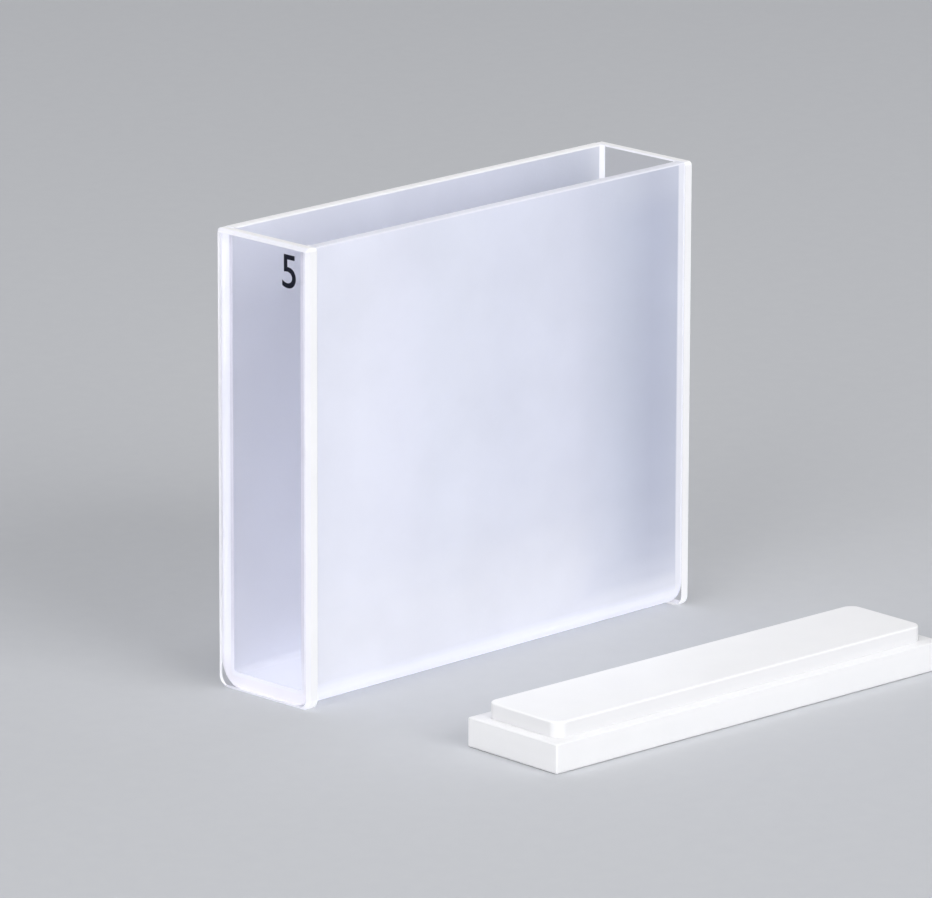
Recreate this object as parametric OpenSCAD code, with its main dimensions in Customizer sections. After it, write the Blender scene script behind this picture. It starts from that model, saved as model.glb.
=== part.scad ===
// Rectangular absorption cell: a ground quartz trough between two polished end windows,
// with its push-in lid lying plug side up beside it.
// Frame: the origin is the middle of the cell's foot, +X runs along the light path, +Z is up.

/* [Cell] */
// Light path: the distance between the inner faces of the two end windows
path_l = 50; // [20:5:100]
// Inside width between the two long walls
cavity_w = 10; // [6:0.5:20]
// Height from the foot to the rim
cell_h = 45; // [30:1:60]

/* [Trough] */
// Thickness of each ground long wall
wall_t = 1.15; // [0.8:0.05:2]
// Thickness of the floor
floor_t = 1.25; // [0.8:0.05:3]
// Inside radius where a long wall turns into the floor
trough_r = 0.65; // [0.65:0.05:2.5]
// Outside radius along the two bottom edges, limited by the walls it turns between
belly_r = 2.6; // [0.5:0.1:3.5]
// Edge break along the rims of the long walls and the inner top edges of the windows
rim_break = 0.15; // [0.05:0.05:0.3]

/* [Windows] */
// Thickness of each polished end window
window_t = 1.25; // [0.8:0.05:3]
// How far the windows stand proud of the long walls, on each side
window_lip = 0.1; // [0:0.05:0.5]
// Radius of the two bottom corners of a window
foot_r = 1.1; // [0.5:0.1:2]
// Radius of the two top corners of a window
shoulder_r = 0.4; // [0.4:0.1:1.5]
// Ground edge break round the outer face of a window
window_break = 0.35; // [0.1:0.05:0.35]

/* [Seams] */
// Leg of the fused glass bead in the inside corners of each window
seam_leg = 0.4; // [0.2:0.05:0.6]
// Radius of the hollow face of the bead
seam_hollow_r = 0.65; // [0.65:0.05:2]

/* [Lid] */
// Clearance between the plug and each long wall
plug_gap = 0.15; // [0.05:0.05:0.4]
// Clearance between the plug and each window, which leaves room for the seams
plug_end_gap = 0.75; // [0.6:0.05:1.5]
// How deep the plug reaches into the mouth
plug_depth = 1.55; // [0.8:0.05:5]
// Radius of the upright corners of the plug
plug_corner_r = 1.2; // [0.5:0.1:2.5]
// Thickness of the flange that rests on the rim
flange_t = 2.9; // [1.5:0.05:6]
// How far the flange stays inside the outline of the cell, along each long wall
flange_setback = 0.2; // [0:0.05:0.5]
// How far each end of the flange rests on the window below it
flange_end_rest = 0.45; // [0.2:0.05:0.8]
// Edge break on the plug and the flange
lid_break = 0.2; // [0.05:0.05:0.3]

/* [Lid laid aside] */
// Distance from the front of the cell to the nearest corner of the lid
lid_aside = 18.3; // [5:0.1:60]
// How far the left end of the lid is shifted in from the left end of the cell
lid_shift = 2.9; // [-20:0.1:20]
// Turn of the lid about the vertical, in degrees
lid_turn = -2.3; // [-15:0.1:15]

/* [Hidden] */

// Sides of a round surface
$fn = 96;
// How far a cutter runs past what it cuts
over = 1;
// The way from the middle of a slab to each of its corners, anticlockwise
QUADRANTS = [[1, 1], [-1, 1], [-1, -1], [1, -1]];

// Outside sizes of the cell
trough_w = cavity_w + 2 * wall_t;
cell_w = trough_w + 2 * window_lip;
cell_l = path_l + 2 * window_t;

// The bend may thin down to this share of the thinner of the wall and the floor
bend_share = 2 / 3;
bend_limit = min(wall_t, floor_t) * (sqrt(2) - bend_share) / (sqrt(2) - 1);
bend_r = min(belly_r, trough_r + bend_limit);

// Centre of the hollow face of a bead, the same distance in from both surfaces it joins
seam_centre = (seam_leg + sqrt(2 * pow(seam_hollow_r, 2) - pow(seam_leg, 2))) / 2;
// A bead stops where the edge breaks of the wall and the window begin
seam_top = cell_h - rim_break;

// Outside sizes of the lid
plug_l = path_l - 2 * plug_end_gap;
plug_w = cavity_w - 2 * plug_gap;
flange_l = path_l + 2 * flange_end_rest;
flange_w = cell_w - 2 * flange_setback;
// A lid turned towards the cell is moved away by as much as its right end swings in
lid_swing = max(0, flange_l * sin(lid_turn));

frosted_colour = [0.86, 0.88, 0.95];
clear_colour = [0.78, 0.80, 0.86];
seam_colour = [0.95, 0.95, 1.00];
lid_colour = [0.97, 0.97, 0.98];

// ---------- Shared forms ----------

// A rectangle centred on X that stands on Y = 0, with its two upper corners cut off
module topped_section(width, height, cut) {
    half = width / 2;
    polygon([
        [-half, 0],
        [half, 0],
        [half, height - cut],
        [half - cut, height],
        [cut - half, height],
        [-half, height - cut]
    ]);
}

// A block on Z = 0 with an edge break round its upper face
module topped_block(length, width, height, cut) {
    intersection() {
        rotate([90, 0, 0])
            linear_extrude(width, center = true)
                topped_section(length, height, cut);
        rotate([90, 0, 90])
            linear_extrude(length, center = true)
                topped_section(width, height, cut);
    }
}

// What rounding one upright corner takes off a block: a square prism less the round corner
// that stays, which carries the same edge break
module corner_waste(radius, height, cut) {
    difference() {
        translate([0, 0, -over])
            cube([radius + over, radius + over, height + 2 * over]);
        rotate_extrude()
            polygon([
                [0, -over],
                [radius, -over],
                [radius, height - cut],
                [radius - cut, height],
                [radius - cut, height + over],
                [0, height + over]
            ]);
    }
}

// A slab on Z = 0 with an edge break round its upper face and four rounded upright corners,
// whose radii are given in the order of QUADRANTS
module slab(length, width, height, cut, radii) {
    difference() {
        topped_block(length, width, height, cut);
        for (corner = [0:3]) {
            radius = radii[corner];
            way = QUADRANTS[corner];
            translate([way.x * (length / 2 - radius), way.y * (width / 2 - radius), 0])
                rotate(90 * corner)
                    corner_waste(radius, height, cut);
        }
    }
}

// A rectangle that stands on Y = 0, centred on X, with its two lower corners rounded
module round_bottomed(width, height, radius) {
    translate([-width / 2, radius])
        square([width, height - radius]);
    translate([radius - width / 2, 0])
        square([width - 2 * radius, height]);
    for (side = [-1, 1])
        translate([side * (width / 2 - radius), radius])
            circle(radius);
}

// ---------- Trough ----------

// Section of the trough across the light path
module trough_section() {
    difference() {
        intersection() {
            round_bottomed(trough_w, cell_h, bend_r);
            topped_section(trough_w, cell_h, rim_break);
        }
        translate([0, floor_t])
            round_bottomed(cavity_w, cell_h - floor_t + over, trough_r);
        for (side = [-1, 1])
            translate([side * cavity_w / 2, cell_h])
                rotate(45)
                    square(rim_break * sqrt(2), center = true);
    }
}

module trough() {
    color(frosted_colour)
        rotate([90, 0, 90])
            linear_extrude(path_l, center = true)
                trough_section();
}

// ---------- Windows ----------

// The right window; its outer face looks along +X
module window() {
    difference() {
        translate([path_l / 2, 0, cell_h / 2])
            rotate([0, 90, 0])
                slab(cell_h, cell_w, window_t, window_break,
                     [foot_r, shoulder_r, shoulder_r, foot_r]);
        translate([path_l / 2, 0, cell_h])
            rotate([0, 45, 0])
                cube([rim_break * sqrt(2), cell_w + over, rim_break * sqrt(2)], center = true);
    }
}

module right_window() {
    color(clear_colour)
        window();
}

module left_window() {
    color(clear_colour)
        mirror([1, 0, 0])
            window();
}

// ---------- Seams ----------

// Section of a bead: the corner is at the origin, and both surfaces it joins run along an axis
module bead_section() {
    difference() {
        square(seam_leg);
        translate([seam_centre, seam_centre])
            circle(seam_hollow_r);
    }
}

// The half of the right window's bead on +Y: along the floor, round the bend and up the wall
module half_seam() {
    straight = cavity_w / 2 - trough_r;
    bend_z = floor_t + trough_r;
    // Along the floor
    translate([path_l / 2, 0, floor_t])
        rotate([90, 0, 180])
            linear_extrude(straight)
                bead_section();
    // Round the bend
    translate([path_l / 2, straight, bend_z])
        rotate([0, -90, 0])
            rotate([0, 0, 90])
                rotate_extrude(angle = 90)
                    translate([trough_r, 0])
                        mirror([1, 0])
                            bead_section();
    // Up the wall
    translate([path_l / 2, cavity_w / 2, bend_z])
        rotate([0, 0, 180])
            linear_extrude(seam_top - bend_z)
                bead_section();
}

module seam() {
    half_seam();
    mirror([0, 1, 0])
        half_seam();
}

module right_seam() {
    color(seam_colour)
        seam();
}

module left_seam() {
    color(seam_colour)
        mirror([1, 0, 0])
            seam();
}

// ---------- Lid ----------

// The flange, with every edge broken
module flange() {
    intersection() {
        topped_block(flange_l, flange_w, flange_t, lid_break);
        translate([0, 0, flange_t])
            mirror([0, 0, 1])
                topped_block(flange_l, flange_w, flange_t, lid_break);
    }
}

// The lid as it lies: outer face down, plug up
module lid() {
    color(lid_colour)
        translate([lid_shift - cell_l / 2, -cell_w / 2 - lid_aside - lid_swing, 0])
            rotate([0, 0, lid_turn])
                translate([flange_l / 2, -flange_w / 2, 0]) {
                    flange();
                    translate([0, 0, flange_t])
                        slab(plug_l, plug_w, plug_depth, lid_break,
                             [for (corner = [0:3]) plug_corner_r]);
                }
}

trough();
left_window();
right_window();
left_seam();
right_seam();
lid();
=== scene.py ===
# %% [markdown]
# # A quartz absorption cell and its push-in lid
# The cell is a long, narrow tank of fused quartz that a beam of light crosses from end to end. Its
# two end windows are polished clear and everything else is ground, so it looks like frosted glass
# with a bright frame at each end. The lid is a stepped block of white fluoropolymer that lies
# beside it, plug side up.
#
# ## The frame
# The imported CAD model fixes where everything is. It is loaded first, and each piece made here takes
# its place from it, so nothing has to be fitted by eye. Every CAD node gets a finer copy of itself:
# the same form, with soft ground edges and with faces that can carry different finishes. The CAD
# meshes could have been dressed as they are, but each is one loose shell that takes one finish.

import math

import bmesh
import bpy
from mathutils import Matrix, Vector


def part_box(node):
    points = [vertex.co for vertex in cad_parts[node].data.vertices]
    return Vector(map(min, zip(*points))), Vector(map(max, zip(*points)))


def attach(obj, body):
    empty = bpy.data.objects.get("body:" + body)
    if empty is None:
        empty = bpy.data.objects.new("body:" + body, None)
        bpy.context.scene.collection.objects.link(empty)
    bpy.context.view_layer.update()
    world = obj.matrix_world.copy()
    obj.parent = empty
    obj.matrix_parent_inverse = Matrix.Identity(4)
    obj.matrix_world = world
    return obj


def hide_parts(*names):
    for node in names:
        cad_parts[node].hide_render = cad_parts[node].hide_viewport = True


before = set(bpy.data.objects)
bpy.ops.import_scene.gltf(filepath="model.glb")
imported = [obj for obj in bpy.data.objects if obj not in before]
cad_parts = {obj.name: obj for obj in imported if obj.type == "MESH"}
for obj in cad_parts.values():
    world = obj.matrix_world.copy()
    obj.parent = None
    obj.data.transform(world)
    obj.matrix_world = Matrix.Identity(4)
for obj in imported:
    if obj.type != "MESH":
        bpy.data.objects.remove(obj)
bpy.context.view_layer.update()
MM = 0.001  # the scene is in metres, and the sizes of the object are given in millimetres
print("CAD nodes:", ", ".join(sorted(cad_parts)))

# %% [markdown]
# ## The camera
# A long lens far away keeps the upright edges of the glass parallel, as product pictures do. The
# camera could be placed by three coordinates, but two angles and a distance from a point near the
# middle of the cell are easier to read, because each of them means something by itself.

# %% Aim the camera
AZIMUTH, ELEVATION, ROLL = (math.radians(a) for a in (-45.202, 14.996, 0.160))
DISTANCE = 802.1 * MM
SENSOR_MM, LENS_MM = 36, 321.1
NEAREST, FARTHEST = 0.05, 20  # what the camera draws, in metres
AIM_RIGHT, AIM_UP = 0.756 * MM, -2.744 * MM
CELL_MIDDLE = Vector((0, 0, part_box("trough")[1].z / 2))


def towards(azimuth, elevation):
    """The way out from the cell at an azimuth, where 0 is the lid's side, and an elevation."""
    return Vector((
        math.sin(azimuth) * math.cos(elevation),
        -math.cos(azimuth) * math.cos(elevation),
        math.sin(elevation),
    ))


back = towards(AZIMUTH, ELEVATION)
turn = back.to_track_quat("Z", "Y").to_matrix().to_4x4() @ Matrix.Rotation(ROLL, 4, "Z")
aim = CELL_MIDDLE + turn @ Vector((AIM_RIGHT, AIM_UP, 0))

camera = bpy.data.objects.new("Camera", bpy.data.cameras.new("Camera"))
camera.data.sensor_width, camera.data.lens = SENSOR_MM, LENS_MM
camera.data.clip_start, camera.data.clip_end = NEAREST, FARTHEST
camera.matrix_world = Matrix.Translation(aim + back * DISTANCE) @ turn
bpy.context.scene.collection.objects.link(camera)
bpy.context.scene.camera = camera
bpy.context.scene.view_settings.view_transform = "Standard"
print("camera at", [round(v, 3) for v in camera.matrix_world.translation])

# %% [markdown]
# ## Helpers for materials
# Colours are picked as sRGB hex values, the way a painter or a web page writes them, but shaders
# add up light in linear values. One function turns the first into the second. A second adds a node
# with its settings and links, and a third starts a material that reads Object coordinates. The
# pieces sit at the origin, unturned and unscaled, so those coordinates are real places in metres.

# %% Material helpers
def linear(hex_colour):
    """An sRGB hex colour as the linear values that shaders use."""
    channels = [int(hex_colour[i:i + 2], 16) / 255 for i in (1, 3, 5)]
    return [c / 12.92 if c <= 0.04045 else ((c + 0.055) / 1.055) ** 2.4 for c in channels] + [1]


def add(tree, kind, inputs=None, **settings):
    """Adds a node. inputs maps a socket's name or number to a value or to another node's output."""
    node = tree.nodes.new("ShaderNode" + kind)
    for name, value in settings.items():
        setattr(node, name, value)
    for socket, value in (inputs or {}).items():
        if isinstance(value, bpy.types.NodeSocket):
            tree.links.new(value, node.inputs[socket])
        else:
            node.inputs[socket].default_value = value
    return node


def new_material(name):
    """A material with an empty node tree, and the Object coordinates for its patterns."""
    material = bpy.data.materials.new(name)
    material.use_nodes = True
    tree = material.node_tree
    tree.nodes.clear()
    return material, tree, add(tree, "TexCoord").outputs["Object"]


def per(size_mm):
    """The Scale of a pattern whose features are this many millimetres across."""
    return 1 / (size_mm * MM)


print("middle grey in linear values:", round(linear("#808080")[0], 3))

# %% [markdown]
# ## Letting the lamps in
# A path tracer treats a pane as something that blocks a lamp, because it can't aim a shadow ray
# through a bend. Real quartz lets the light in. So a lamp's ray meets a thin clear surface in place
# of the glass: nearly all of it goes through polished work, and about half through ground work,
# which sends the rest back or sideways. Full caustics would be the exact way, and would leave
# bright specks that take thousands of samples to clear.

# %% Lamp light through quartz
POLISHED_SHARE = 0.95


def let_lamps_in(tree, shader, share):
    """Ends a material whose surface lets this share of each lamp's light straight through."""
    rays = add(tree, "LightPath")
    clear = add(tree, "BsdfTransparent", {"Color": (share, share, share, 1)})
    mix = add(tree, "MixShader", {
        0: rays.outputs["Is Shadow Ray"], 1: shader.outputs[0], 2: clear.outputs[0]})
    add(tree, "OutputMaterial", {"Surface": mix.outputs[0]})


print("polished quartz lets in", POLISHED_SHARE, "of a lamp's light")

# %% [markdown]
# ## Painted light and shade over the cell
# Frosted glass is never one even tone. Light that enters through the clear end windows brightens
# the first few millimetres of the walls. Where the right window is behind a wall, the wall loses
# light to the room and looks deeper. The foot is pale again, because light runs down inside the
# quartz and gathers there, and so is a slim band along the joint with the window.
#
# In a dark room all of that would come from the light itself. A pale studio hides most of it, so it
# is
# painted: painted light and painted shade, as a row of colours by the distance from the right window,
# which gives way to one pale colour of painted light by shares. A vertex colour could do the same,
# but it needs a dense mesh, and a ramp on Object coordinates doesn't.

# %% Tones over the cell
# Painted light: one pale colour for light that gathers at the foot, under the rim and at the joint.
PAINTED_LIGHT_COLOUR = "#F5F6FD"  # the pale colour of quartz that gathers light
HALF_PATH, CELL_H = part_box("trough")[1].x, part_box("trough")[1].z
EVERYWHERE = [(0, 1.0), (50, 1.0)]


def ramp_along(tree, coordinate, stops, runs="EASE"):
    """A ramp along an axis. stops are pairs of a place in millimetres and what is there, which is
    a hex colour or a share from 0 to 1."""
    first, last = stops[0][0], stops[-1][0]
    along = add(tree, "MapRange", {
        "Value": coordinate, "From Min": first * MM, "From Max": last * MM})
    ramp = add(tree, "ValToRGB", {"Fac": along.outputs["Result"]})
    ramp.color_ramp.interpolation = runs
    points = ramp.color_ramp.elements
    points.remove(points[1])
    for number, (place_mm, value) in enumerate(stops):
        at = (place_mm - first) / (last - first)
        point = points[0] if number == 0 else points.new(at)
        point.position = at
        point.color = linear(value) if isinstance(value, str) else (value, value, value, 1)
    return ramp.outputs["Color"]


def painted_light_and_shade(tree, place, tones, gathers):
    """A colour of painted light and shade that changes over the cell. tones are stops by the distance
    from the right window, with a painted shade where that window is behind the wall. They give way to
    one pale colour of painted light where light gathers. Each pair in gathers has two rows of shares,
    up the wall and by that distance. Their product counts, and the highest of the pairs."""
    axes = add(tree, "SeparateXYZ", {"Vector": place})
    distance = add(
        tree, "Math", {0: HALF_PATH, 1: axes.outputs["X"]}, operation="SUBTRACT").outputs[0]
    share = 0.0
    for up, along in gathers:
        both = add(tree, "Math", {
            0: ramp_along(tree, axes.outputs["Z"], up), 1: ramp_along(tree, distance, along)},
            operation="MULTIPLY").outputs[0]
        share = add(tree, "Math", {0: both, 1: share}, operation="MAXIMUM").outputs[0]
    return add(tree, "Mix", {
        "Factor": share, 6: ramp_along(tree, distance, tones, "LINEAR"), 7: linear(PAINTED_LIGHT_COLOUR)},
        data_type="RGBA").outputs[2]


print("the walls are", round(2 * HALF_PATH / MM, 2), "mm long and", round(CELL_H / MM, 2), "high")

# %% [markdown]
# ## Ground quartz
# The long walls and the floor are fused quartz, ground with fine grit inside and out. A ground
# surface is a field of tiny pits: part of the light is scattered back as from chalk, and part goes
# through blurred. A Translucent shader alone would look like paper, and glass with a high roughness
# alone turns grey, so this is one Principled shader between the two. Its grain comes from grit of
# about 0.03 mm, too fine to show, so it is drawn at 0.3 mm. Soft clouds about 9 mm across are the
# slight unevenness of hand lapping.
#
# Where the quartz turns under at the foot, the light inside it leaves again, so the bends and the
# lower edge breaks look pale and not shaded. A path tracer finds too little of that light, so the
# material gives off a little of its own there. How far a face looks down and to the side that the
# lamps are on says how much, and upright faces give off none.

# %% Ground quartz
IOR_QUARTZ = 1.458
CLOUD_MM, GRAIN_MM = 9, 0.3
CLOUD_DEPTH = 0.955  # the deepest tone of a cloud
PIT_DEPTH, PIT_STRENGTH = 0.02 * MM, 0.4
PIT_SPREAD = 0.06  # how far the roughness swings from pit to pit
UNDER_GLOW = 0.27
GLOW_WAY = (-0.2, -0.35, -1)  # down, and to the side the lamps are on
GLOW_STARTS = 0.35  # so that a face that is only turned to the lamps gives off nothing


def ground_quartz(name, tones, clear, roughness, lamps, gathers=None):
    """Ground quartz of one tone, or with painted light and shade from tones and gathers, as above.
    clear is the share that goes through, and lamps the share of lamp light."""
    material, tree, place = new_material(name)
    colour = painted_light_and_shade(tree, place, tones, gathers) if gathers else linear(tones)
    clouds = add(tree, "TexNoise", {"Vector": place, "Scale": per(CLOUD_MM), "Detail": 3.0})
    shade = add(tree, "MapRange", {
        "Value": clouds.outputs["Fac"], "From Min": 0.35, "From Max": 0.65,
        "To Min": CLOUD_DEPTH, "To Max": 1.0})
    colour = add(tree, "Mix", {"Factor": 1.0, 6: colour, 7: shade.outputs["Result"]},
                 data_type="RGBA", blend_type="MULTIPLY").outputs[2]
    grain = add(tree, "TexNoise", {"Vector": place, "Scale": per(GRAIN_MM), "Detail": 2.0})
    frost = add(tree, "MapRange", {
        "Value": grain.outputs["Fac"],
        "To Min": roughness - PIT_SPREAD, "To Max": roughness + PIT_SPREAD})
    pits = add(tree, "Bump", {
        "Height": grain.outputs["Fac"], "Distance": PIT_DEPTH, "Strength": PIT_STRENGTH})
    facing = add(tree, "VectorMath", {
        0: add(tree, "NewGeometry").outputs["Normal"], 1: GLOW_WAY}, operation="DOT_PRODUCT")
    glow = add(tree, "MapRange", {
        "Value": facing.outputs["Value"], "From Min": GLOW_STARTS, "To Max": UNDER_GLOW})
    shader = add(tree, "BsdfPrincipled", {
        "Base Color": colour,
        "Roughness": frost.outputs["Result"],
        "Normal": pits.outputs["Normal"],
        "Transmission Weight": clear,
        "IOR": IOR_QUARTZ,
        "Emission Color": colour,
        "Emission Strength": glow.outputs["Result"],
    })
    let_lamps_in(tree, shader, lamps)
    return material


print("light given off where the quartz turns under:", UNDER_GLOW)

# %% [markdown]
# ## The walls, outside and inside
# One recipe gives both faces of the walls, with other numbers. Outside, the painted tone is palest
# at the left, deepest about 4 mm from the right window, and pale again at the foot and along the
# joint: painted light and painted shade. Inside, less light comes back to the eye, so the face is
# painted a shade greyer, a painted shade, and lets more through, and it is painted paler towards the
# floor. The stops follow the tone of a real wall in its light and shade, read off from end to end
# and from foot to rim.

# %% Walls
# Painted shade deepest about 4 mm from the right window, painted light at the left end, the foot,
# under the rim in that shade and along the joint.
OUTSIDE = ground_quartz(
    "GroundQuartz",
    [(0, "#C7CCDD"), (1.6, "#C5CADB"), (3, "#C2C7D9"), (4.5, "#C1C6D8"), (6.4, "#C7CCDD"),
     (8.3, "#CED3E3"), (11.3, "#D9DDEC"), (15, "#E2E5F3"), (20, "#E6E9F6"), (25, "#E7EAF7"),
     (30, "#E9ECF8"), (34, "#EAEDF9"), (39, "#EDEFFB"), (44, "#F0F2FD"), (50, "#F0F2FD")],
    clear=0.25, roughness=0.7, lamps=0.5, gathers=[
        # the bend at the foot
        ([(0, 1.0), (1.2, 1.0), (2.7, 0.74), (4.5, 0.38), (6.8, 0.2), (10, 0.06), (14, 0.0)],
         EVERYWHERE),
        # the lower wall, away from the shade at the right
        ([(0, 0.85), (4.5, 0.8), (6.8, 0.75), (10, 0.5), (13.5, 0.2), (18, 0.05), (25, 0.0)],
         [(0, 0.2), (6, 0.2), (11, 0.4), (16, 0.9), (20, 1.0), (50, 1.0)]),
        # under the rim in that shade
        ([(40, 0.0), (44, 0.18)], [(0, 1.0), (8, 1.0), (14, 0.0)]),
        # the slim band along the joint
        (EVERYWHERE, [(0, 1.0), (0.7, 1.0), (1.0, 0.0)])])
# Painted shade: the inside is a greyer copy of the outside, and painted paler towards the floor.
INSIDE = ground_quartz(
    "GroundQuartzInside",
    [(0, "#E3E6EE"), (3, "#E0E3EC"), (15, "#E1E3EC"), (50, "#E2E4ED")],
    clear=0.4, roughness=0.7, lamps=0.52, gathers=[
        ([(1, 0.45), (1.8, 0.45), (4, 0.5), (9, 0.45), (20, 0.35), (32, 0.25), (38, 0.1),
          (42, 0.0)], EVERYWHERE)])
print("made", OUTSIDE.name, "and", INSIDE.name)

# %% [markdown]
# ## Ground edges and fused joints
# The edges of the windows and the rims are ground too, but they are narrow and light reaches them
# from both sides of the glass, so they glow almost white and frame the cell. The same recipe serves
# with less going through and more lamp light let in. The other narrow faces differ by a shade:
#
# - the edge breaks of the windows are a shade deeper than the edges and a little smoother,
# - the rim on the lamps' side is painted a shade deeper than the back rim, a painted shade,
# - the ends of the trough, lapped flat to take the windows, are seen through polished quartz and
#   are deeper at the floor than up the walls, where they take the pale colour of painted light,
# - a fused joint is quartz that has been melted and has cooled slightly milky and smoother. Its
#   back, seen through the window, is a thin lilac line that is painted paler towards the floor, a
#   painted light, and outside it shows as a pale line painted a shade deeper than the bead, a
#   painted shade where the lamps face it.

# %% Ground edges and fused joints
EDGE = ground_quartz("GroundQuartzEdge", "#FDFDFF", clear=0.05, roughness=0.5, lamps=0.8)
EDGE_BREAK = ground_quartz("GroundQuartzBreak", "#F3F3FB", clear=0.1, roughness=0.45, lamps=0.5)
# Painted shade: the front rim is a shade deeper than the back rim.
RIM_PAINTED_SHADE = ground_quartz("GroundQuartzRimPaintedShade", "#F3F4FD", clear=0.15, roughness=0.5, lamps=0.6)
# Painted light: the lapped ends take the pale colour up the walls and are deeper at the floor.
LAPPED_END = ground_quartz(
    "LappedQuartzEnd", [(0, "#E9E7EC"), (50, "#E9E7EC")], clear=0.2, roughness=0.5, lamps=0.2,
    gathers=[([(1.2, 0.0), (4.0, 1.0)], EVERYWHERE)])
JOINT = ground_quartz("FusedQuartzJoint", "#FBFBFF", clear=0.05, roughness=0.4, lamps=0.6)
# Painted shade: the joint line outside is a shade deeper than the bead, where the lamps face it.
JOINT_LINE = ground_quartz("FusedQuartzLine", "#E6E6F0", clear=0.05, roughness=0.4, lamps=0.5)
# The joint's back is painted paler towards the floor: painted light.
JOINT_BACK = ground_quartz(
    "FusedQuartzJointBack", [(0, "#DAD9E5"), (50, "#DAD9E5")],
    clear=0.1, roughness=0.4, lamps=0.5,
    gathers=[([(1.2, 0.7), (2.0, 0.6), (8, 0.1), (14, 0.0)], EVERYWHERE)])
NARROW = (EDGE, EDGE_BREAK, RIM_PAINTED_SHADE, LAPPED_END, JOINT, JOINT_LINE, JOINT_BACK)
print("made", ", ".join(material.name for material in NARROW))

# %% [markdown]
# ## Polished quartz
# The windows are polished to carry a beam, so they are quite clear: what the eye gets is a faint
# reflection and whatever lies behind. Perfect glass looks like nothing at all, so wiped smears 6 mm
# across soften the reflection a little here and there, as on a cell that has been handled. A Glass
# shader would do, but the Principled one keeps all the finishes in one family.

# %% Polished quartz
SMEAR_MM, SMEAR_ROUGHNESS = 6, 0.03


def polished_quartz():
    material, tree, place = new_material("PolishedQuartz")
    smear = add(tree, "TexNoise", {"Vector": place, "Scale": per(SMEAR_MM), "Detail": 2.0})
    wiped = add(tree, "MapRange", {
        "Value": smear.outputs["Fac"], "From Min": 0.4, "From Max": 0.7,
        "To Max": SMEAR_ROUGHNESS})
    shader = add(tree, "BsdfPrincipled", {
        "Base Color": linear("#FBFBFE"),
        "Roughness": wiped.outputs["Result"],
        "Transmission Weight": 1.0,
        "IOR": IOR_QUARTZ,
    })
    let_lamps_in(tree, shader, POLISHED_SHARE)
    return material


POLISHED = polished_quartz()
print("made", POLISHED.name)

# %% [markdown]
# ## Machined fluoropolymer
# The lid is milled out of a white bar. Fluoropolymer is slightly waxy: light sinks in under the
# surface and comes out softly, which a little subsurface scattering gives. The cutter leaves fine
# parallel lines. Their real pitch of about 0.1 mm is too fine to show, so they are drawn 0.7 mm
# apart, and so shallow that they do no more than soften the gloss.
#
# The step is lit twice, by the lamps and by its other face, and would burn out to a flat white. Its
# two faces are therefore painted a touch deeper than the rest, a painted shade, so that the form of
# the step can be read.

# %% Machined fluoropolymer
IOR_FLUOROPOLYMER = 1.35
MOTTLE_MM, CUTTER_MM = 4, 0.7
LIGHT_SINKS = 0.8 * MM
WAVE_TURN = math.tau / 20  # a Wave texture runs through 20 radians where others count 1
# Painted shade on the ledge and the plug's sides, found by height.
STEP_PAINTED_SHADE = [(2.6, 0.0), (2.85, 1.0), (4.2, 1.0), (4.45, 0.0)]  # heights of the ledge and the plug


def machined_fluoropolymer():
    material, tree, place = new_material("MachinedFluoropolymer")
    mottle = add(tree, "TexNoise", {"Vector": place, "Scale": per(MOTTLE_MM), "Detail": 3.0})
    cutter = add(tree, "TexWave", {
        "Vector": place, "Scale": per(CUTTER_MM) * WAVE_TURN, "Distortion": 0.6, "Detail": 2.0,
        "Detail Scale": 1.0}, bands_direction="Y")
    colour = add(tree, "Mix", {
        "Factor": mottle.outputs["Fac"], 6: linear("#F0F0F2"), 7: linear("#F5F5F6")},
        data_type="RGBA").outputs[2]
    height = add(tree, "SeparateXYZ", {"Vector": place}).outputs["Z"]
    # A painted shade on the step's two faces.
    colour = add(tree, "Mix", {
        "Factor": ramp_along(tree, height, STEP_PAINTED_SHADE), 6: colour, 7: linear("#E9E9EB")},
        data_type="RGBA").outputs[2]
    gloss = add(tree, "MapRange", {
        "Value": cutter.outputs["Fac"], "To Min": 0.42, "To Max": 0.5})
    lines = add(tree, "Bump", {
        "Height": cutter.outputs["Fac"], "Distance": 0.01 * MM, "Strength": 0.3})
    shader = add(tree, "BsdfPrincipled", {
        "Base Color": colour,
        "Roughness": gloss.outputs["Result"],
        "Normal": lines.outputs["Normal"],
        "IOR": IOR_FLUOROPOLYMER,
        "Subsurface Weight": 0.3,
        "Subsurface Radius": (LIGHT_SINKS, LIGHT_SINKS, LIGHT_SINKS),
        "Subsurface Scale": 1.0,
    })
    add(tree, "OutputMaterial", {"Surface": shader.outputs[0]})
    return material


POLYMER = machined_fluoropolymer()
print("made", POLYMER.name)

# %% [markdown]
# ## Ink
# A plain number is printed on one window. Screen ink is a thin, matt, dark layer with pinholes
# about 0.1 mm across, drawn here as a fine speckle of two near-blacks.

# %% Ink
def screen_ink():
    material, tree, place = new_material("NavyScreenInk")
    speckle = add(tree, "TexNoise", {"Vector": place, "Scale": per(0.2), "Detail": 2.0})
    colour = add(tree, "Mix", {
        "Factor": speckle.outputs["Fac"], 6: linear("#070A18"), 7: linear("#12162A")},
        data_type="RGBA")
    shader = add(tree, "BsdfPrincipled", {
        "Base Color": colour.outputs[2], "Roughness": 0.6, "Specular IOR Level": 0.2})
    add(tree, "OutputMaterial", {"Surface": shader.outputs[0]})
    return material


INK = screen_ink()
print("made", INK.name)

# %% [markdown]
# ## Helpers for pieces
# A few steps are the same for every piece. Its edges are marked sharp where the angle is real, and
# the rest is shaded smooth. A modifier then lets the large flats decide how the light falls on
# them, because otherwise the narrow edge breaks would put a false glow across a whole wall.
#
# Glass that touches glass must not share a face with it, or the light path has no clear order of
# surfaces. Pieces that touch are therefore drawn a hundredth of a millimetre short of each other.

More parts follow.
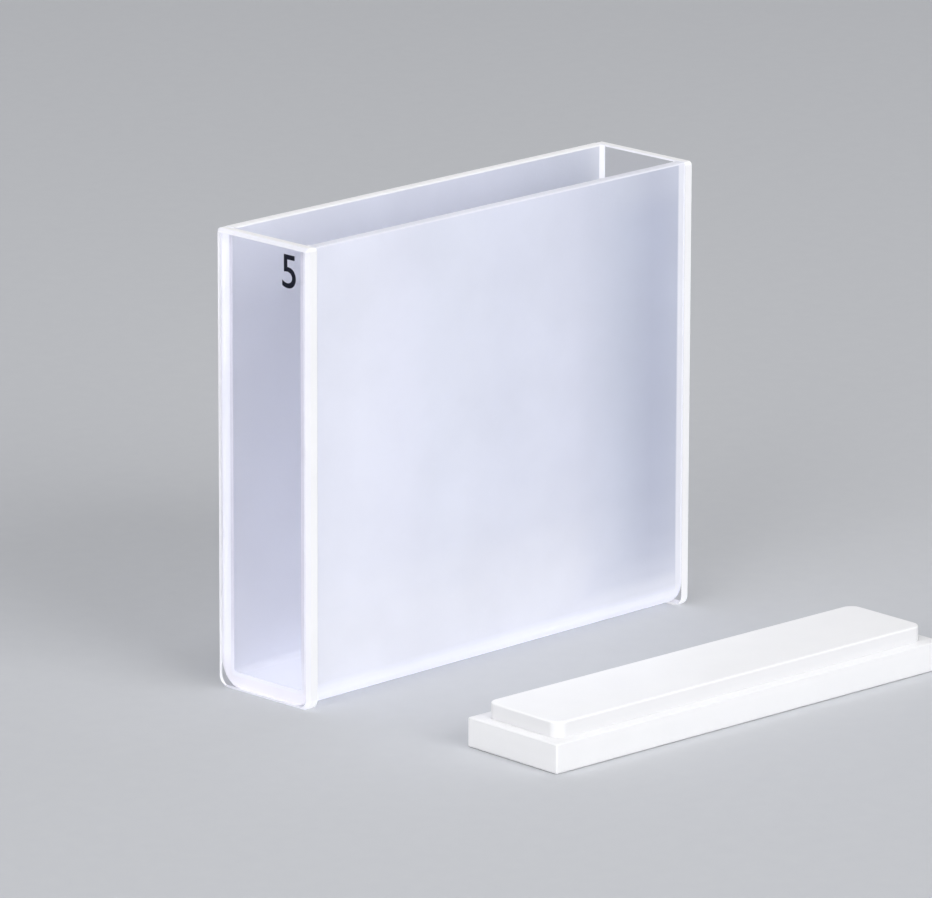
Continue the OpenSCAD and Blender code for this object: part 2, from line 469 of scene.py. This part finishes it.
# %% Piece helpers
SKIN = 0.01 * MM
HAIR = 0.001 * MM  # closer than this is the same place
SHARP = math.radians(25)


def finish_piece(name, bm, materials, slot, *nodes):
    """Turns a bmesh into a piece that stands for CAD nodes and takes these materials. slot is not
    used.
    """
    bmesh.ops.recalc_face_normals(bm, faces=bm.faces)
    for face in bm.faces:
        face.smooth = True
    for edge in bm.edges:
        edge.smooth = edge.calc_face_angle(0) < SHARP
    open_edges = sum(len(edge.link_faces) != 2 for edge in bm.edges)
    mesh = bpy.data.meshes.new(name)
    bm.to_mesh(mesh)
    bm.free()
    for material in materials:
        mesh.materials.append(material)
    piece = bpy.data.objects.new(name, mesh)
    bpy.context.scene.collection.objects.link(piece)
    piece.modifiers.new("Flats stay flat", "WEIGHTED_NORMAL").keep_sharp = True
    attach(piece, "root")
    if nodes:
        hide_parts(*nodes)
    print(f"{name}: {len(mesh.polygons)} faces, {open_edges} open edges")


def moved(bm, result, way):
    """Moves what an extrusion made."""
    verts = [v for v in result["geom"] if isinstance(v, bmesh.types.BMVert)]
    bmesh.ops.translate(bm, verts=verts, vec=way)
    return verts


def ease(bm, edges, size, segments=1):
    """Breaks edges with a small flat or round."""
    bmesh.ops.bevel(bm, geom=edges, offset=size, segments=segments, profile=0.5, affect="EDGES",
                    material=-1)


def round_corners(bm, verts, radius, segments):
    """Rounds corners of a flat outline."""
    bmesh.ops.bevel(bm, geom=verts, offset=radius, segments=segments, profile=0.5,
                    affect="VERTICES", material=-1)


print("skin between touching glass:", round(SKIN / MM, 3), "mm")

# %% [markdown]
# ## The trough
# The trough is one bent sheet of quartz: two long walls that turn into a floor with a round bend.
# It could be a box with a smaller box cut out, but a boolean leaves messy faces in a bend. Here
# four points make an open U, its two lower corners are rounded, and a second, smaller U is drawn
# inside it. Bridging the two gives the section, and pulling that along the light path gives the
# trough, so both bends run true from end to end.

# %% Trough
trough_low, trough_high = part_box("trough")
HALF_OUT, WALL, FLOOR = trough_high.y, 1.15 * MM, 1.25 * MM
HALF_IN = HALF_OUT - WALL
BEND_IN, BEND_OUT = 0.65 * MM, 2.6 * MM
RIM_BREAK = 0.15 * MM
BEND_STEPS = 12


def u_path(bm, x, half_width, bottom, top, radius):
    """Draws an open U across the light path, with its two lower corners rounded."""
    corners = [bm.verts.new((x, y, z)) for y, z in (
        (-half_width, top), (-half_width, bottom), (half_width, bottom), (half_width, top))]
    for pair in zip(corners, corners[1:]):
        bm.edges.new(pair)
    round_corners(bm, corners[1:3], radius, BEND_STEPS)


bm = bmesh.new()
end_x = trough_low.x + SKIN
u_path(bm, end_x, HALF_OUT, 0, CELL_H, BEND_OUT)
u_path(bm, end_x, HALF_IN + SKIN, FLOOR - SKIN, CELL_H, BEND_IN + SKIN)
section = bmesh.ops.bridge_loops(bm, edges=bm.edges)["faces"]
moved(bm, bmesh.ops.extrude_face_region(bm, geom=section), (-2 * end_x, 0, 0))
rims = [e for e in bm.edges if all(abs(v.co.z - CELL_H) < HAIR for v in e.verts)
        and abs(e.verts[0].co.x - e.verts[1].co.x) > WALL]
ease(bm, rims, RIM_BREAK, segments=2)
print("section:", len(section), "faces, rims:", len(rims))

# %% [markdown]
# The faces then choose their finish by where they are: the lapped ends, the rims, the inside and
# the outside. The pieces could be split to carry one finish each, but then the quartz would have
# inner faces where it has none, and light would show them.

# %% Finishes of the trough
bmesh.ops.recalc_face_normals(bm, faces=bm.faces)
TROUGH_FINISHES = [OUTSIDE, INSIDE, EDGE, RIM_PAINTED_SHADE, LAPPED_END]
STRAIGHT_ON, SIDEWAYS = 0.99, 0.01  # how much of a normal runs along the light path
for face in bm.faces:
    middle = face.calc_center_median()
    if abs(face.normal.x) > STRAIGHT_ON:
        finish = LAPPED_END
    elif middle.z > CELL_H - RIM_BREAK:
        # The back rim takes the edge finish and the front rim the painted shade.
        finish = EDGE if middle.y > 0 else RIM_PAINTED_SHADE
    elif abs(middle.y) < HALF_IN + WALL / 2 and middle.z > FLOOR - WALL / 2:
        finish = INSIDE
    else:
        finish = OUTSIDE
    face.material_index = TROUGH_FINISHES.index(finish)
finish_piece("Trough", bm, TROUGH_FINISHES, "frosted_quartz", "trough")

# %% [markdown]
# ## The end windows
# Each window is a polished plate that closes one end and stands slightly proud of the walls. Its
# bottom corners are rounded, its outer face has a wide ground edge break, and its inner top edge is
# broken like the rims. The plate starts as one rectangle, which is rounded while it is still flat,
# then pulled to its thickness and broken round its outer face.
#
# A bevel on the inner top edge would collapse against the rounded shoulders, so that edge is cut
# off by a plane at 45 degrees and the cut is closed. The two large faces are polished, and the
# narrow ones are ground.

# %% Windows
WINDOW_BREAK = 0.35 * MM
FOOT_R, SHOULDER_R = 1.1 * MM, 0.4 * MM
FOOT_STEPS, SHOULDER_STEPS = 10, 6
WINDOW_FINISHES = [POLISHED, EDGE, EDGE_BREAK]


def window_plate(name, node):
    low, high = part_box(node)
    outer, inner = sorted((low.x, high.x), key=abs, reverse=True)
    outer -= math.copysign(SKIN, outer)  # leaves room for a layer of ink
    bm = bmesh.new()
    corners = [bm.verts.new((outer, y, z)) for y, z in (
        (low.y, 0), (high.y, 0), (high.y, CELL_H), (low.y, CELL_H))]
    bm.faces.new(corners)
    round_corners(bm, corners[:2], FOOT_R, FOOT_STEPS)
    tops = [v for v in bm.verts if v.co.z > CELL_H - HAIR]
    round_corners(bm, tops, SHOULDER_R, SHOULDER_STEPS)
    moved(bm, bmesh.ops.extrude_face_region(bm, geom=list(bm.faces)), (inner - outer, 0, 0))
    face_ring = [e for e in bm.edges if all(abs(v.co.x - outer) < HAIR for v in e.verts)]
    ease(bm, face_ring, WINDOW_BREAK)
    cut = bmesh.ops.bisect_plane(
        bm, geom=list(bm.verts) + list(bm.edges) + list(bm.faces), clear_outer=True,
        plane_co=(inner, 0, CELL_H - RIM_BREAK), plane_no=(inner - outer, 0, abs(inner - outer)))
    bmesh.ops.edgeloop_fill(bm, edges=[
        e for e in cut["geom_cut"] if isinstance(e, bmesh.types.BMEdge)])
    bmesh.ops.recalc_face_normals(bm, faces=bm.faces)
    for face in bm.faces:
        along = abs(face.normal.x)
        finish = POLISHED if along > STRAIGHT_ON else EDGE if along < SIDEWAYS else EDGE_BREAK
        face.material_index = WINDOW_FINISHES.index(finish)
    finish_piece(name, bm, WINDOW_FINISHES, "clear_quartz", node)


window_plate("LeftWindow", "left_window")
window_plate("RightWindow", "right_window")

# %% [markdown]
# ## The fused seams
# Where a window meets the trough, melted quartz fills the inside corner with a slim hollow bead
# that follows the floor and the bend and runs up both walls. A curve with a bevel profile could
# draw it, but its ends would need closing by hand. Instead the same open U as the trough's is drawn
# once for each point of the bead's section, a little smaller each time, and the paths are bridged
# in turn. The flat against the window gets its own finish, because it is seen through the glass.

# %% Seams
SEAM_LEG, SEAM_HOLLOW = 0.4 * MM, 0.65 * MM
HOLLOW_STEPS = 6


def bead(name, paths, finishes, *nodes):
    """Bridges U paths, each given as for u_path, into a closed bead. The first finish is for the
    bead, and the second for its flat against the window, which is seen through the glass."""
    bm = bmesh.new()
    loops = []
    for path in paths:
        before = set(bm.edges)
        u_path(bm, *path)
        loops.append([e for e in bm.edges if e not in before])
    for loop, following in zip(loops, loops[1:] + loops[:1]):
        bmesh.ops.bridge_loops(bm, edges=loop + following)
    bmesh.ops.holes_fill(bm, edges=bm.edges, sides=0)
    bmesh.ops.recalc_face_normals(bm, faces=bm.faces)
    for face in bm.faces:
        face.material_index = int(abs(face.normal.x) > STRAIGHT_ON)
    finish_piece(name, bm, finishes, "fused_seam", *nodes)


def seam_section():
    """The bead's section as pairs: along the floor from the window, and up from the floor."""
    centre = (SEAM_LEG + math.sqrt(2 * SEAM_HOLLOW ** 2 - SEAM_LEG ** 2)) / 2
    start = math.asin((centre - SEAM_LEG) / SEAM_HOLLOW)
    sweep = math.pi / 2 - 2 * start
    hollow = [(centre - SEAM_HOLLOW * math.sin(a), centre - SEAM_HOLLOW * math.cos(a))
              for a in (start + sweep * i / HOLLOW_STEPS for i in range(1, HOLLOW_STEPS))]
    return [(0, 0), (SEAM_LEG, 0)] + hollow + [(0, SEAM_LEG)]


for name, node in (("LeftSeam", "left_seam"), ("RightSeam", "right_seam")):
    low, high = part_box(node)
    window_x = max((low.x, high.x), key=abs)
    inward = -math.copysign(1, window_x)
    bead(name, [
        (window_x + inward * (SKIN + along), high.y - up, low.z + up, CELL_H - SKIN, BEND_IN - up)
        for along, up in seam_section()], [JOINT, JOINT_BACK], node)

# %% [markdown]
# Outside, the joint shows as a thin pale line between the wall and the proud edge of the window.
# It follows the round bend, where the clear corner of the plate stands free. The line is a second,
# finer bead with four corners, sunk a little into the wall and kept just under the window's edge.

# %% Joint lines outside
LINE_W, LINE_SUNK, LINE_PROUD = 0.14 * MM, 0.04 * MM, 0.09 * MM
for name, node in (("LeftJointLine", "left_window"), ("RightJointLine", "right_window")):
    low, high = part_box(node)
    inner = min((low.x, high.x), key=abs)
    inward = -math.copysign(1, inner)
    top = CELL_H - RIM_BREAK
    bead(name, [
        (inner + inward * SKIN, HALF_OUT + LINE_PROUD, 0, top, BEND_OUT + LINE_PROUD),
        (inner + inward * LINE_W, HALF_OUT + HAIR, HAIR, top, BEND_OUT + HAIR),
        (inner + inward * LINE_W, HALF_OUT - LINE_SUNK, LINE_SUNK, top, BEND_OUT - LINE_SUNK),
        (inner + inward * SKIN, HALF_OUT - LINE_SUNK, LINE_SUNK, top, BEND_OUT - LINE_SUNK)],
        [JOINT_LINE, JOINT])

# %% [markdown]
# ## The lid
# The lid is a flange that covers the mouth and a plug that goes into it, milled from one block. Two
# blocks laid on each other would do from afar, but they would leave a seam where there is none. So
# one block is inset for the step, its middle is pulled up for the plug, and the plug's four upright
# corners are rounded.

# %% Lid: flange and plug
lid_low, lid_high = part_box("lid")
LID_TURN = math.radians(-2.3)
FLANGE_L, FLANGE_W, FLANGE_T = 50.9 * MM, 12.1 * MM, 2.9 * MM
PLUG_L, PLUG_W, PLUG_R = 48.5 * MM, 9.7 * MM, 1.2 * MM
PLUG_STEPS = 10

bm = bmesh.new()
bmesh.ops.create_cube(bm, size=1)
bmesh.ops.scale(bm, verts=bm.verts, vec=(FLANGE_L, FLANGE_W, FLANGE_T))
bmesh.ops.translate(bm, verts=bm.verts, vec=(0, 0, FLANGE_T / 2))
top = max(bm.faces, key=lambda f: f.calc_center_median().z)
step = (FLANGE_W - PLUG_W) / 2
bmesh.ops.inset_region(bm, faces=[top], thickness=step, use_even_offset=True)
bmesh.ops.scale(bm, verts=top.verts, vec=(PLUG_L / (FLANGE_L - 2 * step), 1, 1))
plug_top = moved(
    bm, bmesh.ops.extrude_face_region(bm, geom=[top]), (0, 0, lid_high.z - FLANGE_T))
if top.is_valid:
    bmesh.ops.delete(bm, geom=[top], context="FACES_ONLY")
uprights = [e for e in bm.edges if sum(v in plug_top for v in e.verts) == 1]
ease(bm, uprights, PLUG_R, segments=PLUG_STEPS)
print("plug:", len(uprights), "upright corners, radius", round(PLUG_R / MM, 2), "mm")

# %% [markdown]
# Every outer edge is then broken, because a machined edge is never quite sharp and its thin bright
# line is what tells the eye where one white face ends and the next begins. The inside corner of the
# step stays sharp, as the cutter leaves it. The finished lid is turned and laid in its place.

# %% Lid: edges and place
LID_BREAK = 0.2 * MM
STEEP = math.radians(60)  # a real edge, and not one between two facets of a round corner


def in_step_corner(edge):
    """Whether an edge lies in the inside corner between the flange and the plug."""
    return all(abs(v.co.z - FLANGE_T) < HAIR and abs(v.co.x) < FLANGE_L / 2 - HAIR
               and abs(v.co.y) < FLANGE_W / 2 - HAIR for v in edge.verts)


outer_edges = [e for e in bm.edges if e.calc_face_angle(0) > STEEP and not in_step_corner(e)]
ease(bm, outer_edges, LID_BREAK, segments=3)
bmesh.ops.rotate(bm, verts=bm.verts, cent=(0, 0, 0), matrix=Matrix.Rotation(LID_TURN, 3, "Z"))
lid_middle = (lid_low + lid_high) / 2
bmesh.ops.translate(bm, verts=bm.verts, vec=(lid_middle.x, lid_middle.y, 0))
print("lid:", len(outer_edges), "broken edges, turned", round(math.degrees(LID_TURN), 1), "degrees")
finish_piece("Lid", bm, [POLYMER], "white_fluoropolymer", "lid")

# %% [markdown]
# ## The number
# A single figure is printed at the top of the left window. Text is the quickest way to a clean
# letter form, and an image would need a picture file. It is made a mesh first, and only then put in
# its place, so that the piece still sits at the origin like the others. The glass was drawn a hair
# short of the CAD face, and the ink lies in the middle of that gap, clear of the glass.

# %% Printed number
FIGURE_SIZE, INK_THICK = 4.6 * MM, SKIN / 2
FIGURE_Y, FIGURE_Z = -3.8 * MM, 40.9 * MM
INK_SPREAD = 0.03 * MM  # the ink runs out a little round the outline
bpy.ops.object.text_add()
figure = bpy.context.object
figure.name = "WindowNumber"
figure.data.body = "5"
figure.data.size = FIGURE_SIZE
figure.data.extrude = INK_THICK / 2  # to each side
figure.data.offset = INK_SPREAD
figure.data.align_x = "CENTER"
bpy.ops.object.convert(target="MESH")
window_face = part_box("left_window")[0].x
figure.data.transform(
    Matrix.Translation((window_face + SKIN / 2, FIGURE_Y, FIGURE_Z))
    @ Matrix.Rotation(-math.pi / 2, 4, "Z") @ Matrix.Rotation(math.pi / 2, 4, "X"))
figure.data.materials.append(INK)
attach(figure, "root")
print("figure:", len(figure.data.polygons), "faces")

# %% [markdown]
# ## The studio floor
# A plain sheet of pale paper runs far past the view, so that no edge shows. A disc is enough, and
# needs no curved backdrop, because the camera looks down on it. It lies a hair below the cell, for
# the same reason as the skins between the glass.

# %% Floor
FLOOR_RADIUS, FLOOR_SIDES = 6.0, 96
bm = bmesh.new()
bmesh.ops.create_circle(bm, cap_ends=True, segments=FLOOR_SIDES, radius=FLOOR_RADIUS)
bmesh.ops.translate(bm, verts=bm.verts, vec=(0, 0, -SKIN))
floor_mesh = bpy.data.meshes.new("StudioFloor")
bm.to_mesh(floor_mesh)
bm.free()
floor = bpy.data.objects.new("StudioFloor", floor_mesh)
bpy.context.scene.collection.objects.link(floor)
print("floor: a disc", 2 * FLOOR_RADIUS, "m across")

# %% [markdown]
# The sheet is uncoated paper, quite matt. Its fibres clump in flecks about 2 mm across that differ
# by a hair in tone, which keeps the large empty area from looking like a screen.

# %% Studio paper
material, tree, place = new_material("StudioPaper")
fibre = add(tree, "TexNoise", {"Vector": place, "Scale": per(2), "Detail": 3.0})
tone = add(tree, "Mix", {
    "Factor": fibre.outputs["Fac"], 6: linear("#C1C3C8"), 7: linear("#C5C7CB")}, data_type="RGBA")
shader = add(tree, "BsdfPrincipled", {"Base Color": tone.outputs[2], "Roughness": 0.9})
add(tree, "OutputMaterial", {"Surface": shader.outputs[0]})
floor_mesh.materials.append(material)
print("made", material.name)

# %% [markdown]
# ## The room
# The room is pale at the horizon and dark higher up, as in a studio with a black ceiling. An even
# grey world would be simpler, but the pale band is what clear glass shows at a low angle, and the
# dark above keeps the insides of the walls from washing out.

# %% Room
ROOM_COLOUR = linear("#CECED0")
HORIZON, CEILING = 1.0, 0.12
BAND_TOP = 0.15  # the sine of the elevation at which the pale band has faded

world = bpy.data.worlds.new("StudioAir")
world.use_nodes = True
world.node_tree.nodes.clear()
way_up = add(world.node_tree, "SeparateXYZ", {
    0: add(world.node_tree, "TexCoord").outputs["Generated"]})
fade = add(world.node_tree, "MapRange", {
    "Value": way_up.outputs["Z"], "From Min": 0.0, "From Max": BAND_TOP,
    "To Min": HORIZON, "To Max": CEILING})
air = add(world.node_tree, "Background", {
    "Color": ROOM_COLOUR, "Strength": fade.outputs["Result"]})
add(world.node_tree, "OutputWorld", {"Surface": air.outputs[0]})
bpy.context.scene.world = world
print("room: pale up to", round(math.degrees(math.asin(BAND_TOP)), 1), "degrees")

# %% [markdown]
# ## The lamps
# Three soft boxes light the cell: one in front, one on the left window's side and one straight
# above, which reaches down into the mouth. One big lamp would do for a plain object, but ground
# quartz needs light from more than one side before both its faces and its edges show. Their power
# is set so that a colour renders about as it is written.

# %% Lamps
BOX_DISTANCE, BOX_SIZE = 1.6, 1.0


def softbox(name, azimuth, elevation, watts):
    """A soft lamp that looks at the middle of the cell from two angles in degrees."""
    way = towards(math.radians(azimuth), math.radians(elevation))
    lamp = bpy.data.lights.new(name, "AREA")
    lamp.shape, lamp.size, lamp.energy = "SQUARE", BOX_SIZE, watts
    box = bpy.data.objects.new(name, lamp)
    box.matrix_world = Matrix.Translation(CELL_MIDDLE + way * BOX_DISTANCE) @ (
        way.to_track_quat("Z", "Y").to_matrix().to_4x4())
    bpy.context.scene.collection.objects.link(box)
    print(name, watts, "W from", azimuth, elevation)


softbox("KeyBox", 0, 25, 15.5)
softbox("FillBox", -75, 24, 15)
softbox("TopBox", 0, 90, 12.5)
